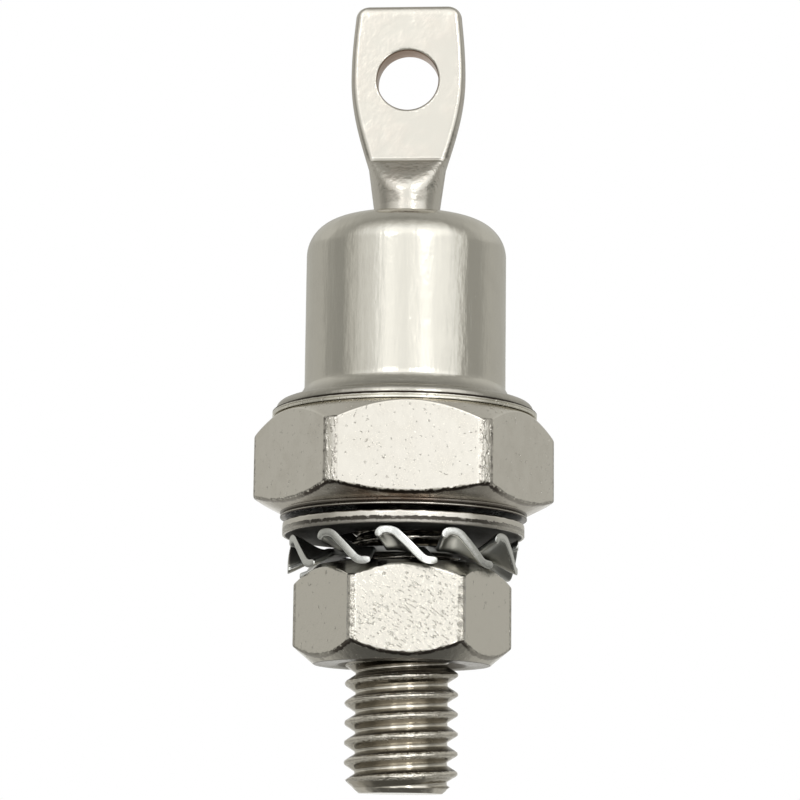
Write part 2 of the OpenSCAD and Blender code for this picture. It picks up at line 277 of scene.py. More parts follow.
def hexagon_inset(spot, across_flats, corner_d, turn):
    """How far a spot lies inside a hexagon's flats and turned corners."""
    x, y, _, r = axes(spot)
    reach = [abs(x * math.sin(turn + k) - y * math.cos(turn + k))
             for k in (0.0, math.pi / 3, 2 * math.pi / 3)]
    widest = spot.math("MAXIMUM", spot.math("MAXIMUM", reach[0], reach[1]), reach[2])
    return spot.math("MINIMUM", across_flats / 2 - widest, corner_d / 2 - r)


def over_seat_chamfer(r, z):
    """Height over the chamfer between the seat and the hexagon."""
    return z - (r - SEAT_D / 2) * SEAT_SLOPE - SEAT_H


def base_painted_shade(spot):
    """Painted shade under the seat, on its step and the chamfer, and in ragged lines along the hexagon's
    edges.
    """
    _, y, z, r = axes(spot)
    uneven = grain(spot, 5.0, 16.0, rough=0.65)
    cloud = grain(spot, 1.6, 17.0)
    over_chamfer = over_seat_chamfer(r, z)
    # Painted shade under the seat, in its step and on the chamfer
    underside = z.below(0.0, 0.03) * r.between(2.4, 2.7) * 0.9
    fine_line = abs(z - SEAT_H / 4).below(0.010, 0.028)
    on_step = z.below(SEAT_H - 0.03, SEAT_H) * z.between(0.0, 0.02)
    step = on_step * r.between(SEAT_D / 2 - 0.2, SEAT_D / 2 - 0.1) * (0.8 - 0.6 * fine_line)
    on_chamfer = over_chamfer.below(0.01, 0.03) * z.between(SEAT_H - 0.03, SEAT_H)
    chamfer = on_chamfer * (0.05 + 0.22 * cloud)
    inset = hexagon_inset(spot, HEX_AF, HEX_CORNER_D, HEX_TURN) - 0.22 * (uneven - 0.5)
    torn_edge = over_chamfer - 0.3 * (grain(spot, 7.0, 18.0, detail=3.0) - 0.5)
    # Painted shade in a ragged line under the flats, strongest on the front flat
    low_line = inset.below(0.12, 0.20) * torn_edge.below(0.03, 0.06)
    low_line = low_line * (0.4 + 0.6 * (-y).between(3.5, 4.8))
    # Painted shadows of nicks along the edges of the turned corners
    corner_depth = HEX_CORNER_D / 2 - r
    corner_line = corner_depth.between(0.007, 0.025) * corner_depth.below(0.050, 0.075)
    corner_line = corner_line * (0.16 + 0.62 * uneven.between(0.46, 0.64)) * z.between(0.7, 0.8)
    return spot.math("MINIMUM", underside + step + chamfer + low_line + corner_line, 0.95)


def base_grease(spot):
    """A brown film on the middle of the chamfer under the front flat."""
    x, y, z, r = axes(spot)
    on_chamfer = over_seat_chamfer(r, z).below(0.01, 0.03) * z.between(0.05, 0.2)
    middle = (-y).between(3.6, 5.2) * abs(x).below(0.8, 3.0)
    smeared = grain(spot, 1.3, 19.0).between(0.30, 0.62)
    return on_chamfer * (0.12 + 0.75 * middle * smeared)


def corner_bruises(spot):
    """Bruises along both edges of each turned corner, and a little crinkle over the flats."""
    r = axes(spot)[3]
    edge = r.between(HEX_CORNER_D / 2 - 0.04, HEX_CORNER_D / 2)
    upright = spot.node("ShaderNodeMapping", None, {"Vector": spot, "Scale": (1.0, 1.0, 0.35)})
    bruises = edge * grain(upright, 5.0, 14.0, detail=3.0).between(0.48, 0.60)
    return bruises * 2.4 + grain(spot, 2.4, 15.0) * 0.7


base_angles = hexagon_angles(flat_steps=61, corner_from=26.5, corner_steps=22)
hex_r = hexagon_radius(base_angles, HEX_AF, HEX_CORNER_D, soft=0.10)
seat_edge = SEAT_H + (hex_r - SEAT_D / 2) * SEAT_SLOPE
top_edge = HEX_H - (hex_r - HEX_TOP_D / 2)
base_profiles = profiles_round([
    (0, 0), (SEAT_D / 2, 0), (SEAT_D / 2, 0.3 * SEAT_H), (SEAT_D / 2 - SEAT_GROOVE, 0.5 * SEAT_H),
    (SEAT_D / 2, 0.7 * SEAT_H), (SEAT_D / 2, SEAT_H), (hex_r, seat_edge), (hex_r, top_edge),
    (HEX_TOP_D / 2, HEX_H), (PEDESTAL_D / 2, HEX_H), (PEDESTAL_D / 2, HEX_H + PEDESTAL_H),
    (0, HEX_H + PEDESTAL_H)], base_angles)
low_cut = 0.11 + 0.06 * wear_round(base_angles, pitch=16, seed=13.0)
top_cut = 0.075 + 0.035 * wear_round(base_angles, pitch=9, seed=3.0)
base_cuts = [0.05, 0.02, 0.01, 0.02, 0.04, low_cut, top_cut, 0.05, 0.02, 0.05]
base_points = turned(round_corners(base_profiles, base_cuts), base_angles + HEX_TURN)
hex_base = skin_piece("hex_base", base_points)
base_finish = plated(
    "nickel_on_copper", (0.685, 0.66, 0.605), (0.57, 0.54, 0.48), rough=0.11, uneven=0.08, pit_share=0.65,
    pit_depth=0.8, ripple=0.3, seed=11.0, dirt_and_shade_rule=base_painted_shade, score=corner_bruises,
    film=(base_grease, (0.30, 0.20, 0.135)))
hex_base.data.materials.append(base_finish)
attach(hex_base, "diode")
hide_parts("base_stud")

# Threaded stud
# The stud is one piece with the base, and its M5 thread is rolled, so crests and roots are rounded. It runs
# from inside the base to a turned lead-in at the end, and the crests are rubbed bright by the nut.
STUD_CREST_R, STUD_ROOT_R, STUD_PITCH = 2.325, 1.89, 0.8
STUD_TOP, STUD_END, STUD_TIP_R, LEAD_IN_SLOPE = 0.3, 11.2, 1.7, 1.05
THREAD_PHASE, THREAD_CREST, THREAD_FLANK = 0.475, 0.15, 0.70
THREAD_COLUMNS, THREAD_ROWS = 145, 440
UNDER_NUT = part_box("hex_nut")[0].z / MM


def new_tree(name, sizes):
    """A geometry tree with named size inputs, a wire to each of them, and its output node."""
    tree = bpy.data.node_groups.new(name, "GeometryNodeTree")
    tree.interface.new_socket("Geometry", in_out="INPUT", socket_type="NodeSocketGeometry")
    for label, kind in sizes:
        tree.interface.new_socket(label, in_out="INPUT", socket_type=kind)
    tree.interface.new_socket("Geometry", in_out="OUTPUT", socket_type="NodeSocketGeometry")
    given, result = tree.nodes.new("NodeGroupInput"), tree.nodes.new("NodeGroupOutput")
    return tree, {s.name: Wire(tree, s) for s in given.outputs if s.name}, result


def keep_result(piece, modifier):
    """Makes the mesh that a modifier shows the piece's own, and takes the modifier off."""
    bpy.context.view_layer.update()
    made = bpy.data.meshes.new_from_object(piece.evaluated_get(bpy.context.evaluated_depsgraph_get()))
    piece.modifiers.remove(modifier)
    piece.data = made
    made.name = piece.name


def grown_piece(name, tree, values, mesh=None):
    """Runs a geometry tree on an object and keeps the result as a plain mesh."""
    piece = bpy.data.objects.new(name, mesh or bpy.data.meshes.new(name + "_seed"))
    bpy.context.scene.collection.objects.link(piece)
    grower = piece.modifiers.new(name, "NODES")
    grower.node_group = tree
    for item in tree.interface.items_tree:
        if item.in_out == "INPUT" and item.name in values:
            grower[item.identifier] = values[item.name]
    keep_result(piece, grower)
    return piece


def thread_tree():
    """Winds a grid round the axis and lifts a right-hand ridge on it, with a lead-in and closed ends."""
    numbers = ("Crest", "Root", "Pitch", "Top", "End", "Tip", "Phase", "Seed")
    tree, size, result = new_tree("rolled_thread", [
        *[(label, "NodeSocketFloat") for label in numbers], ("Finish", "NodeSocketMaterial")])
    top, end, pitch = size["Top"], size["End"], size["Pitch"]
    grid = top.node("GeometryNodeMeshGrid", None, {
        "Size X": 1.0, "Size Y": 1.0, "Vertices X": THREAD_COLUMNS, "Vertices Y": THREAD_ROWS})
    grid_x, grid_y, _ = coordinates(top.node("GeometryNodeInputPosition"))
    turn, down = grid_x + 0.5, grid_y + 0.5
    # The first and last rows close the two ends, and the rows between them run down the stud
    open_top = down.between(0.0, 0.012, soft=False)
    open_end = 1 - down.between(0.955, 1.0, soft=False)
    run = down.between(0.012, 0.955, soft=False)
    height = top - run * (top + end)
    wound = height / pitch - turn + size["Phase"]
    ridge = abs(top.math("FRACT", wound) - 0.5) * 2
    flank = 1 - (ridge - THREAD_CREST) / THREAD_FLANK
    lift = top.node("ShaderNodeMath", {"operation": "SMOOTH_MIN"}, {0: flank, 1: 1.0, 2: 0.20})
    lift = top.node("ShaderNodeMath", {"operation": "SMOOTH_MAX"}, {0: lift, 1: 0.0, 2: 0.12})
    angle = turn * (2 * math.pi)
    cosine, sine = top.math("COSINE", angle), top.math("SINE", angle)
    spot = top.node("ShaderNodeCombineXYZ", None, {0: cosine, 1: sine, 2: height})
    rough = top.node("ShaderNodeTexNoise", {"noise_dimensions": "4D"},
                     {"Vector": spot, "W": size["Seed"], "Scale": 7.0, "Detail": 4.0})
    radius = size["Root"] + lift * (size["Crest"] - size["Root"] + 0.09 * (rough - 0.6))
    lead_in = size["Tip"] + (height + end) * LEAD_IN_SLOPE + 0.10 * (rough - 0.55)
    radius = top.math("MINIMUM", radius, lead_in) * open_top * open_end
    place = top.node("ShaderNodeCombineXYZ", None, {
        0: radius * cosine * MM, 1: radius * sine * MM, 2: height * MM})
    shaped = top.node("GeometryNodeSetPosition", None, {"Geometry": grid, "Position": place})
    joined = top.node("GeometryNodeMergeByDistance", None, {"Geometry": shaped, "Distance": MERGE_M})
    smooth = top.node("GeometryNodeSetShadeSmooth", None, {"Geometry": joined})
    plain = top.node("GeometryNodeRealizeInstances", None, {"Geometry": smooth})
    done = top.node("GeometryNodeSetMaterial", None, {"Geometry": plain, "Material": size["Finish"]})
    tree.links.new(done.socket, result.inputs[0])
    return tree


def thread_dirt_and_shade(spot):
    """Dirt over the whole thread and its flanks, painted shade on the upper flanks, darkest next to the
    crests, and a painted shadow on every turn from just under the nut upwards.
    """
    x, y, z, r = axes(spot)
    cloud = grain(spot, 3.0, 27.0)
    crest_depth = STUD_CREST_R - r - 0.18 * (grain(spot, 7.0, 29.0, rough=0.65) - 0.5)
    turn = spot.math("ARCTAN2", y, x) / (2 * math.pi)
    wound = spot.math("FRACT", z / STUD_PITCH - turn + THREAD_PHASE)
    upper = wound.between(0.50, 0.56) * wound.below(0.92, 0.98)
    on_flank = r.between(STUD_ROOT_R + 0.01, STUD_ROOT_R + 0.06) * crest_depth.between(0.095, 0.135)
    near_crest = crest_depth.below(0.165, 0.305)
    # Painted shadow of the nut, from just under it upwards
    nut_shadow = z.between(UNDER_NUT - 0.75, UNDER_NUT - 0.45) * (0.10 + 0.25 * cloud)
    # Dirt on the flanks, and painted shade on the upper flanks up to the crests
    flank_dirt_and_shade = on_flank * (0.06 + 0.08 * cloud + upper * (0.25 + 0.2 * cloud + 0.5 * near_crest))
    return spot.math("MINIMUM", 0.04 + flank_dirt_and_shade + nut_shadow, 0.95)


def thread_grease(spot):
    """A thin brown film of old oil between the crests."""
    r = axes(spot)[3]
    crest_depth = STUD_CREST_R - r
    return crest_depth.between(0.105, 0.185) * r.between(STUD_ROOT_R, STUD_ROOT_R + 0.05) * 0.36


def crest_nicks(spot):
    """Torn and nicked crests, as rolling and the nut leave them."""
    crest_depth = STUD_CREST_R - axes(spot)[3]
    crest_edge = crest_depth.below(0.095, 0.155) * (0.25 + 0.75 * crest_depth.between(0.035, 0.075))
    return crest_edge * grain(spot, 6.0, 28.0, detail=3.0).between(0.42, 0.60) * 1.5


stud_finish = plated(
    "nickel_on_thread", (0.68, 0.65, 0.585), (0.54, 0.50, 0.43), rough=0.07, uneven=0.05, pit_share=0.66,
    pit_depth=0.3, ripple=0.4, seed=23.0, dirt_and_shade_rule=thread_dirt_and_shade, score=crest_nicks,
    film=(thread_grease, (0.28, 0.235, 0.155)))
threaded_stud = grown_piece("threaded_stud", thread_tree(), {
    "Crest": STUD_CREST_R, "Root": STUD_ROOT_R, "Pitch": STUD_PITCH, "Top": STUD_TOP, "End": STUD_END,
    "Tip": STUD_TIP_R, "Phase": THREAD_PHASE, "Seed": 5.0, "Finish": stud_finish})
face_outwards(threaded_stud.data)
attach(threaded_stud, "diode")
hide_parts("base_stud")

# Soldered stack inside the cap
# The silicon die lies between two molybdenum discs, with a thin layer of hard solder on each face, a bead of
# silicone rubber round its edge, and a copper lead with a nail head on top. The cap hides all of it.


def stack_finish(name, colour, dark, metal, rough, scale, seed):
    """A plain lapped or cast surface with a little cloud in its colour and roughness."""
    material, shader, spot = start_finish(name, metal)
    cloud = grain(spot, scale, seed)
    feed(shader, "Base Color", tint(cloud.between(0.35, 0.7), colour, dark))
    feed(shader, "Roughness", rough + 0.15 * cloud)
    feed_relief(shader, cloud, 0.01 * MM, 0.6)
    return material


solder_finish = stack_finish(
    "hard_solder", (0.62, 0.62, 0.64), (0.48, 0.48, 0.51), metal=1.0, rough=0.38, scale=4.0, seed=2.0)
moly_finish = stack_finish(
    "lapped_molybdenum", (0.50, 0.50, 0.53), (0.42, 0.42, 0.45), metal=1.0, rough=0.30, scale=6.0, seed=4.0)
copper_finish = stack_finish(
    "bare_copper", (0.72, 0.45, 0.28), (0.55, 0.31, 0.19), metal=1.0, rough=0.30, scale=3.0, seed=6.0)
silicon_finish = stack_finish(
    "polished_silicon", (0.22, 0.23, 0.27), (0.17, 0.18, 0.21), metal=0.6, rough=0.12, scale=2.0, seed=8.0)
rubber_finish = stack_finish(
    "silicone_rubber", (0.80, 0.80, 0.76), (0.70, 0.70, 0.66), metal=0.0, rough=0.55, scale=3.0, seed=9.0)
STACK_FINISHES = {
    "inner_lead": copper_finish, "lead_solder": solder_finish, "upper_disc": moly_finish,
    "upper_solder": solder_finish, "die": silicon_finish, "die_solder": solder_finish,
    "lower_disc": moly_finish, "base_solder": solder_finish, "junction_coating": rubber_finish}
for node_name, finish in STACK_FINISHES.items():
    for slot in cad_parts[node_name].material_slots:
        slot.material = finish

# Weld ring
# A thin steel ring brazed to the top of the copper base. The cap can't be welded to copper, so its flange is
# projection-welded to this ring, and a dark line of the weld's flash shows between the two.
RING_D, RING_BORE, RING_GROOVE, RING_GROOVE_H = 11.0, 7.6, 0.03, 0.05


def lathe_angles(steps):
    return np.arange(steps) * 2 * math.pi / steps


def worn_ring(name, corners, cuts, steps, wear, pitch, seed):
    """A closed ring from a profile's corners, each rounded by its cut, which wear makes uneven."""
    angles = lathe_angles(steps)
    profiles = profiles_round([corners[-1], *corners, corners[0]], angles)
    sway = 1 + wear * wear_round(angles, pitch, seed)
    rounded = round_corners(profiles, [cut * sway for cut in cuts])[:, 1:-1]
    return skin_piece(name, turned(rounded, angles), closed=True)


ring_low, ring_high = (corner.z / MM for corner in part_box("weld_ring"))
ring_mid = (ring_low + ring_high) / 2
ring_corners = [
    (RING_BORE / 2, ring_low), (RING_D / 2, ring_low), (RING_D / 2, ring_mid - RING_GROOVE_H / 2),
    (RING_D / 2 - RING_GROOVE, ring_mid), (RING_D / 2, ring_mid + RING_GROOVE_H / 2),
    (RING_D / 2, ring_high), (RING_BORE / 2, ring_high)]
ring_cuts = [0.02, 0.03, 0.01, 0.005, 0.01, 0.03, 0.02]
weld_ring = worn_ring(
    "weld_ring_band", ring_corners, ring_cuts, steps=240, wear=0.5, pitch=12, seed=8.0)


def weld_line(spot):
    """The dark, ragged line of flash where the cap's flange meets the ring."""
    z = axes(spot)[2]
    away = abs(z - ring_high)
    return (away - 0.05 * grain(spot, 4.0, 33.0, rough=0.65)).below(0.012, 0.035)


ring_finish = plated(
    "nickel_on_ring", (0.78, 0.76, 0.69), (0.56, 0.53, 0.47), rough=0.14, uneven=0.12, pit_share=0.60,
    pit_depth=0.6, ripple=0.3, seed=31.0, dirt_and_shade_rule=weld_line)
weld_ring.data.materials.append(ring_finish)
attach(weld_ring, "diode")
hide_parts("weld_ring")

# Cap
# A deep-drawn steel can with a rolled shoulder, an eyelet for the glass in its top and a flange at its foot,
# nickel plated to a satin. The draw leaves its wall very slightly uneven, and the press leaves a sloping foot
# over the flange.
CAP_D, CAP_WALL, SHOULDER_R, FLANGE_D, FLANGE_T = 8.38, 0.5, 1.5, 10.7, 0.4
FLANGE_EDGE, EYELET_D, EYELET_EDGE = 0.31, 4.4, 0.06
# The foot, as distances out from the wall and up from the flange
CAP_FOOT = np.array([(0.62, 0.0), (0.44, 0.045), (0.30, 0.13), (0.17, 0.33), (0.05, 0.52), (0.0, 0.64)])


def arc_points(centre, radius, start, end, steps):
    """Points of an arc in a profile, from one angle in degrees to another."""
    turns = np.radians(np.linspace(start, end, steps + 1))
    return [(centre[0] + radius * math.cos(a), centre[1] + radius * math.sin(a)) for a in turns]


def soft_curve(points, steps):
    """Points along a smooth curve that runs through each of the given ones."""
    ends = np.vstack([2 * points[0] - points[1], points, 2 * points[-1] - points[-2]])
    t = np.linspace(0, 1, steps, endpoint=False)[:, None]
    out = []
    for a, b, c, d in zip(ends, ends[1:], ends[2:], ends[3:]):
        slope, bend, twist = c - a, 2 * a - 5 * b + 4 * c - d, 3 * (b - c) + d - a
        out.append(b + (t * slope + t**2 * bend + t**3 * twist) / 2)
    return np.vstack([*out, points[-1:]])


def revolved(name, corners, steps, closed=True):
    """A piece turned from a profile's corners, which closes on itself or ends on the axis."""
    angles = lathe_angles(steps)
    return skin_piece(name, turned(profiles_round(corners, angles), angles), closed)


cap_low, cap_high = (corner.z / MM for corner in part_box("cap"))
cap_r, inner_r, flange_r, flange_top = CAP_D / 2, CAP_D / 2 - CAP_WALL, FLANGE_D / 2, cap_low + FLANGE_T
cap_outline = [
    (inner_r, cap_low), (flange_r - 0.07, cap_low), (flange_r - 0.02, cap_low + 0.02),
    (flange_r, cap_low + 0.07),
    *arc_points((flange_r - FLANGE_EDGE, flange_top - FLANGE_EDGE), FLANGE_EDGE, 0, 90, 6),
    *(soft_curve(CAP_FOOT, 4) + (cap_r, flange_top)),
    *[(cap_r, z) for z in np.linspace(flange_top + 0.9, cap_high - SHOULDER_R - 0.2, 12)],
    *arc_points((cap_r - SHOULDER_R, cap_high - SHOULDER_R), SHOULDER_R, 0, 90, 24),
    (EYELET_D / 2 + 0.05, cap_high), (EYELET_D / 2, cap_high - EYELET_EDGE),
    (EYELET_D / 2, cap_high - CAP_WALL),
    *arc_points((cap_r - SHOULDER_R, cap_high - SHOULDER_R), SHOULDER_R - CAP_WALL, 90, 0, 8)]
steel_cap = revolved("steel_cap", cap_outline, 192)


def drawn_streaks(spot):
    """Long soft marks down the wall, left by the drawing die."""
    down = spot.node("ShaderNodeMapping", None, {"Vector": spot, "Scale": (1.0, 1.0, 0.16)})
    return grain(down, 1.7, 44.0, detail=3.0, rough=0.55) * 1.5 + grain(spot, 2.2, 45.0, rough=0.65) * 0.6


def flange_tint(spot):
    """The weld's dark line, and a grey bloom of its heat over the flange and the foot."""
    z = axes(spot)[2]
    at_flange = z.below(cap_low + 0.55, cap_low + 0.95)
    bloom = at_flange * (0.22 + 0.20 * grain(spot, 1.2, 46.0, detail=3.0))
    return spot.math("MAXIMUM", weld_line(spot), bloom)


cap_finish = plated(
    "satin_nickel_on_cap", (0.63, 0.612, 0.555), (0.57, 0.55, 0.50), rough=0.13, uneven=0.06, pit_share=0.72,
    pit_depth=0.2, ripple=0.3, seed=41.0, dirt_and_shade_rule=flange_tint, score=drawn_streaks)
steel_cap.data.materials.append(cap_finish)
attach(steel_cap, "diode")
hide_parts("cap")

# Glass seal
# A bead of dark sealing glass, fused between the cap's eyelet and the tube so that the terminal is insulated.
# It wets both metals, so its surface is drawn up at the two edges.
NECK_D, GLASS_SAG, GLASS_PLAY = 2.8, 0.14, 0.004
glass_low, glass_high = (corner.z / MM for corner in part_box("glass_seal"))
glass_in, glass_out = NECK_D / 2, EYELET_D / 2 - GLASS_PLAY
meniscus = [(glass_in + (glass_out - glass_in) * t, glass_high - 0.02 - GLASS_SAG * math.sin(math.pi * t))
            for t in np.linspace(1, 0, 11)]
glass_bead = revolved("glass_bead", [(glass_in, glass_low), (glass_out, glass_low), *meniscus], 128)
glass_finish, glass_shader, glass_spot = start_finish("sealing_glass")
seeds = grain(glass_spot, 7.0, 3.0, detail=2.0, rough=0.5).between(0.62, 0.7)
feed(glass_shader, "Base Color", tint(seeds, (0.055, 0.075, 0.072), (0.16, 0.19, 0.18)))
feed(glass_shader, "Roughness", 0.08 + 0.2 * seeds)
glass_shader.inputs["Coat Weight"].default_value = 0.6
glass_bead.data.materials.append(glass_finish)
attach(glass_bead, "diode")
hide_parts("glass_seal")

# Terminal
# A copper tube, pressed flat above the seal into a solder lug, pierced and tinned. The press leaves two flats
# with short ramps down to the round neck, the folded edges stay round, and the piercing shows bare copper.
NECK_H, FLARE_D, FLARE_H, TUBE_BELOW = 0.65, 3.26, 2.35, 1.0
LUG_W, LUG_WIDE_H, LUG_TOP_W, LUG_H, LUG_CORNER, LUG_T = 4.86, 6.35, 4.42, 9.46, 0.5, 1.1
RAMP_H, FLAT_H, HOLE_D, HOLE_H, HOLE_RIM = 1.5, 2.72, 2.6, 6.18, 0.1
CREASE_DEPTH, CREASE_BELOW, CREASE_W = 0.03, 0.1, 0.035
TOP_EDGE, RAMP_SOFT, FOLD_SOFT = 0.26, 0.05, 0.62


def lug_half(h):
    """Half width of the terminal at a height over the cap: tube, cone, then the spread lug."""
    if h <= NECK_H:
        return NECK_D / 2
    if h <= FLARE_H:
        return (NECK_D + (FLARE_D - NECK_D) * (h - NECK_H) / (FLARE_H - NECK_H)) / 2
    if h <= LUG_WIDE_H:
        spread = math.sin(math.pi / 2 * (h - FLARE_H) / (LUG_WIDE_H - FLARE_H))
        return (FLARE_D + (LUG_W - FLARE_D) * spread) / 2
    spread = math.cos(math.pi / 2 * (h - LUG_WIDE_H) / (LUG_H - LUG_WIDE_H))
    return (LUG_TOP_W + (LUG_W - LUG_TOP_W) * spread) / 2


def die_half(h):
    """Half thickness that the press leaves at a height: all of the tube, a ramp, then the lug."""
    ramp = lug_half(RAMP_H) + (LUG_T / 2 - lug_half(RAMP_H)) * (h - RAMP_H) / (FLAT_H - RAMP_H)
    crease = CREASE_DEPTH * math.exp(-(((h - FLAT_H + CREASE_BELOW) / CREASE_W) ** 2))
    return float(-smooth_min(np.array(-ramp), np.array(-LUG_T / 2), RAMP_SOFT)) - crease


# Rows by height over the cap, closest together where the press bends the tube
lug_heights = [-TUBE_BELOW, -0.5, 0.0, 0.3, *np.linspace(0.6, 3.2, 79)]
lug_heights += [*np.linspace(3.3, LUG_H - LUG_CORNER, 40)]
lug_rows = [(-TUBE_BELOW, 0.0, NECK_D), *[(h, lug_half(h), die_half(h)) for h in lug_heights]]
shoulder = lug_half(LUG_H - LUG_CORNER) - LUG_CORNER
for a in np.radians(np.linspace(8, 90, 14)):
    rounded_t = LUG_T / 2 - TOP_EDGE * (1 - math.cos(a)) ** 1.5
    corner_h = LUG_H - LUG_CORNER * (1 - math.sin(a))
    lug_rows.append((corner_h, shoulder + LUG_CORNER * math.cos(a), rounded_t))
lug_rows += [(LUG_H, shoulder * k, LUG_T / 2 - TOP_EDGE) for k in (0.9, 0.6, 0.0)]
around = lathe_angles(216)
lug_points = []
for h, half_w, half_t in lug_rows:
    side = half_w * np.sin(around)
    thick = smooth_min(np.abs(side), np.full_like(side, half_t), FOLD_SOFT * min(1.0, half_w / 2))
    row = [half_w * np.cos(around), np.sign(side) * thick, np.full_like(side, cap_high + h)]
    lug_points.append(np.stack(row, axis=-1))
solder_lug = skin_piece("solder_lug", np.array(lug_points))
# The punch narrows to the hole inside the lug, over a rounded rim on each face
punch_side = [(HOLE_D / 2 + HOLE_RIM * (1 - math.sin(a)), LUG_T / 2 - HOLE_RIM * (1 - math.cos(a)))
              for a in np.radians(np.linspace(12, 90, 9))]
punch_profile = [(0.0, 2.0), (3.0, 2.0), *punch_side, *[(r, -y) for r, y in reversed(punch_side)],
                 (3.0, -2.0), (0.0, -2.0)]
punch = revolved("punch", punch_profile, 96, closed=False)
hole_place = Matrix.Translation((0, 0, (cap_high + HOLE_H) * MM))
punch.data.transform(hole_place @ Matrix.Rotation(math.pi / 2, 4, "X"))
piercing = solder_lug.modifiers.new("piercing", "BOOLEAN")
piercing.operation, piercing.object, piercing.solver = "DIFFERENCE", punch, "EXACT"
keep_result(solder_lug, piercing)
bpy.data.objects.remove(punch)
lug_finish, lug_shader, lug_spot = start_finish("tin_on_copper", metal=1.0)
lug_x, lug_y, lug_z = coordinates(lug_spot)
over_cap, over_hole = lug_z - cap_high, lug_z - (cap_high + HOLE_H)
from_hole = lug_spot.math("SQRT", lug_x * lug_x + over_hole * over_hole)
bare = from_hole.below(HOLE_D / 2 + 0.01, HOLE_D / 2 + 0.05)
tin_cloud = grain(lug_spot, 0.8, 51.0).between(0.35, 0.75)
fine_tin = grain(lug_spot, 8.0, 52.0, detail=3.0)
on_fold = abs(lug_y).below(0.22, 0.46)
# Dark speckled tarnish along the folded edges, over a painted shade that darkens each fold throughout
fold_tarnish_and_shade = on_fold * (0.10 + 0.5 * grain(lug_spot, 5.0, 55.0, rough=0.65).between(0.45, 0.65))
lug_shade = tint(fold_tarnish_and_shade, tint(tin_cloud, (0.60, 0.58, 0.53), (0.612, 0.576, 0.523)), (0.24, 0.225, 0.20))
feed(lug_shader, "Base Color", tint(bare * 0.9, lug_shade, (0.33, 0.21, 0.145)))
feed(lug_shader, "Roughness", 0.15 + 0.06 * tin_cloud + 0.05 * fine_tin)
at_ramp = over_cap.between(0.9, RAMP_H) * over_cap.below(FLAT_H - 0.27, FLAT_H - 0.07)
wrinkle = (grain(lug_spot, 3.2, 54.0, detail=3.0, rough=0.55) - 0.5) * at_ramp
feed_relief(lug_shader, tin_cloud * 0.5 + fine_tin * 0.015 + wrinkle * 2.5, 0.02 * MM)
solder_lug.data.materials.clear()
solder_lug.data.materials.append(lug_finish)
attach(solder_lug, "diode")
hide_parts("terminal")

# Flat washer
# A stamped steel washer, loose on the stud. Its upper edge is drawn in by the punch and stays bright, the
# lower part of its rim is the torn half of the cut, rough and painted dark, a painted shade strongest at the
# front, and both its faces are painted near black, a painted shade between the parts.
WASHER_D, WASHER_BORE = 10.0, 5.25
washer_low, washer_high = (corner.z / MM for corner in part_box("flat_washer"))
washer_corners = [(WASHER_BORE / 2, washer_low), (WASHER_D / 2, washer_low), (WASHER_D / 2, washer_high),
                  (WASHER_BORE / 2, washer_high)]
washer_cuts = [0.04, 0.05, 0.14, 0.05]
flat_washer = worn_ring(
    "stamped_washer", washer_corners, washer_cuts, steps=300, wear=0.4, pitch=14, seed=17.0)
washer_finish, washer_shader, washer_spot = start_finish("nickel_on_washer", metal=1.0)
_, washer_y, washer_z, washer_r = axes(washer_spot)
tear = grain(washer_spot, 4.5, 61.0, rough=0.65)
tear_at = washer_z - washer_low + 0.22 * (tear - 0.5)
torn = tear_at.below(0.25, 0.29)
deep_tear = torn * tear_at.between(0.10, 0.15) * tear.below(0.55, 0.68)
# The torn half of the rim is painted dark, a painted shade that is strongest at the front
torn_rim_and_shade = (torn * 0.52 + deep_tear * 0.48) * (0.35 + 0.65 * (-washer_y).between(2.0, 3.8))
# Painted shade over both faces, between the washer and its neighbours
washer_face_shade = washer_r.below(WASHER_D / 2 - 0.16, WASHER_D / 2 - 0.06) * 0.85
washer_shade = tint(torn_rim_and_shade, (0.645, 0.62, 0.568), (0.07, 0.064, 0.055))
feed(washer_shader, "Base Color", tint(washer_face_shade, washer_shade, (0.05, 0.05, 0.048)))
feed(washer_shader, "Roughness", 0.16 + 0.22 * torn_rim_and_shade + 0.05 * tear + 0.5 * washer_face_shade)
feed_relief(washer_shader, tear * (0.15 + 1.6 * torn), 0.03 * MM)
flat_washer.data.materials.append(washer_finish)
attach(flat_washer, "washers")
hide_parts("flat_washer")

# Lock washer
# A spring-steel ring with eleven outside teeth, each twisted out of the ring's plane so that its edges bite
# into the nut and the washer. It is blackened, its ring is painted near black, a painted shade between the
# nut and the washer, and the cut ends of the teeth are rubbed bright.
LOCK_D, LOCK_RING_D, LOCK_BORE, LOCK_T, LOCK_TEETH = 9.5, 6.9, 5.25, 0.28, 11
LOCK_TOOTH_SHARE, LOCK_TURN, LOCK_ROOT_D, LOCK_UPSET = 0.8, math.radians(5.7), 7.2, 0.22
LOCK_MERGE_M, LOCK_SOFT_EDGE = 5e-7, 0.04
lock_low, lock_high = (corner.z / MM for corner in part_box("lock_washer"))
lock_mid = (lock_low + lock_high) / 2
# A tooth's twisted end seen from outside, as distances along and over the ring: a hook, a slope, a flat tail
TOOTH_END = np.array([
    (-1.19, 0.36), (-1.09, 0.58), (-0.82, 0.655), (-0.48, 0.56), (-0.20, 0.32), (0.12, 0.02), (0.42, -0.28),
    (0.67, -0.50), (0.92, -0.58), (1.26, -0.55)])


